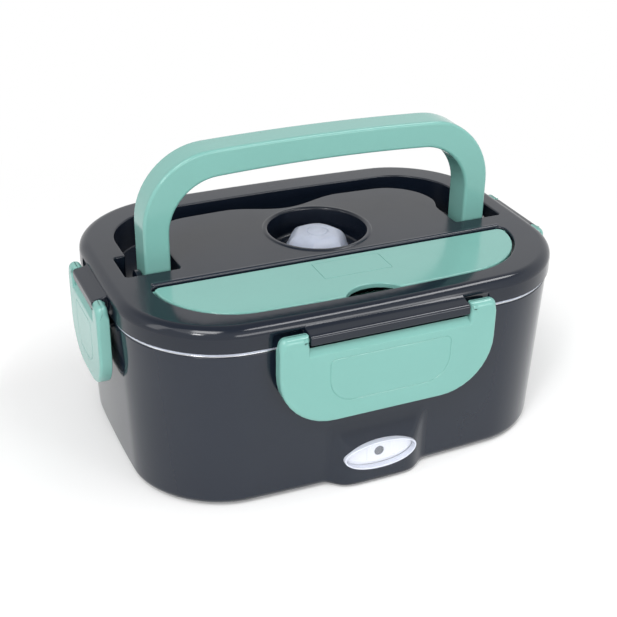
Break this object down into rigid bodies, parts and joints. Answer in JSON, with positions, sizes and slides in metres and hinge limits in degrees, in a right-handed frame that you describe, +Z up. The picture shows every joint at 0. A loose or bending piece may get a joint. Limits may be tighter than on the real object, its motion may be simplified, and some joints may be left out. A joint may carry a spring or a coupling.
{
  "type": "electric lunch box",
  "caption": "Heated food box: a plug-in base with a lift-out steel tray and side dish, and a clip-on lid with a folding handle, latches, cutlery well and steam vent.",
  "frame": {"origin": "centre of the outline on the plane of the four rubber feet", "axes": "+X along the long side, to the right seen from the front; +Y to the back, where the mains inlet is; +Z up"},
  "size_m": [0.2406, 0.1736, 0.1547],
  "materials": {
    "slate_gloss": "glossy moulded plastic",
    "slate_satin": "satin moulded plastic",
    "liner": "satin food-safe liner",
    "teal": "smooth satin plastic",
    "steel": "plain steel",
    "tray_steel": "brushed stainless steel",
    "aluminium": "pressed aluminium",
    "heater_ceramic": "off-white ceramic and mica",
    "black_plastic": "black heat-proof plastic",
    "black_rubber": "soft rubber",
    "silicone": "translucent silicone",
    "dish_plastic": "off-white food plastic",
    "lens": "clear polished plastic",
    "board": "white circuit board",
    "led": "smoked lamp, unlit",
    "red_wire": "insulated wire",
    "blue_wire": "insulated wire"
  },
  "bodies": {
    "base": {"body_shell": "slate_gloss", "base_cover": "slate_gloss", "base_screws": "steel", "feet": "black_rubber", "heating_plate": "aluminium", "heater_element": "heater_ceramic", "heater_clamp": "steel", "clamp_screws": "steel", "thermostat": "black_plastic", "thermal_fuse": "heater_ceramic", "indicator_lens": "lens", "lens_studs": "lens", "led_board": "board", "indicator_led": "led", "power_inlet": "black_plastic", "inlet_pins": "steel", "live_wire": "red_wire", "neutral_wire": "blue_wire"},
    "tray": {"food_tray": "tray_steel"},
    "side_dish": {"side_dish": "dish_plastic"},
    "side_dish_lid": {"side_dish_lid": "teal", "side_dish_seal": "silicone"},
    "lid": {"lid_shell": "slate_satin", "lid_liner": "liner", "lid_seal": "silicone", "handle_pins": "steel", "spoon_bowl": "tray_steel", "spoon_grip": "teal", "fork_head": "tray_steel", "fork_grip": "teal"},
    "handle": {"handle": "teal"},
    "front_latch": {"front_latch": "teal"},
    "back_latch": {"back_latch": "teal"},
    "left_latch": {"left_latch": "teal"},
    "right_latch": {"right_latch": "teal"},
    "cutlery_cover": {"cutlery_cover": "teal"},
    "vent_valve": {"vent_valve": "silicone"}
  },
  "joints": [
    {"name": "lid_lift", "type": "slide", "parent": "base", "child": "lid", "axis": [0, 0, 1], "range_m": [0, 0.24]},
    {"name": "tray_lift", "type": "slide", "parent": "base", "child": "tray", "axis": [0, 0, 1], "range_m": [0, 0.08]},
    {"name": "dish_lift", "type": "slide", "parent": "tray", "child": "side_dish", "axis": [0, 0, 1], "range_m": [0, 0.069]},
    {"name": "dish_lid_lift", "type": "slide", "parent": "side_dish", "child": "side_dish_lid", "axis": [0, 0, 1], "range_m": [0, 0.043]},
    {"name": "handle_fold", "type": "hinge", "parent": "lid", "child": "handle", "pos_m": [0, -0.0032, 0.09025], "axis": [-1, 0, 0], "range_deg": [0, 90]},
    {"name": "front_latch_flip", "type": "hinge", "parent": "lid", "child": "front_latch", "pos_m": [0, -0.0834, 0.08895], "axis": [-1, 0, 0], "range_deg": [0, 140]},
    {"name": "back_latch_flip", "type": "hinge", "parent": "lid", "child": "back_latch", "pos_m": [0, 0.0834, 0.08895], "axis": [1, 0, 0], "range_deg": [0, 140]},
    {"name": "left_latch_flip", "type": "hinge", "parent": "lid", "child": "left_latch", "pos_m": [-0.1169, 0, 0.08895], "axis": [0, 1, 0], "range_deg": [0, 140]},
    {"name": "right_latch_flip", "type": "hinge", "parent": "lid", "child": "right_latch", "pos_m": [0.1169, 0, 0.08895], "axis": [0, -1, 0], "range_deg": [0, 140]},
    {"name": "cutlery_cover_open", "type": "hinge", "parent": "lid", "child": "cutlery_cover", "pos_m": [0, -0.0277, 0.09515], "axis": [-1, 0, 0], "range_deg": [0, 95]},
    {"name": "vent_valve_pull", "type": "slide", "parent": "lid", "child": "vent_valve", "axis": [0, 0, 1], "range_m": [0, 0.0045]}
  ],
  "couplings": [
    {"joint": "tray_lift", "follows": "lid_lift", "ratio": 0.3333},
    {"joint": "dish_lift", "follows": "lid_lift", "ratio": 0.287},
    {"joint": "dish_lid_lift", "follows": "lid_lift", "ratio": 0.179}
  ]
}
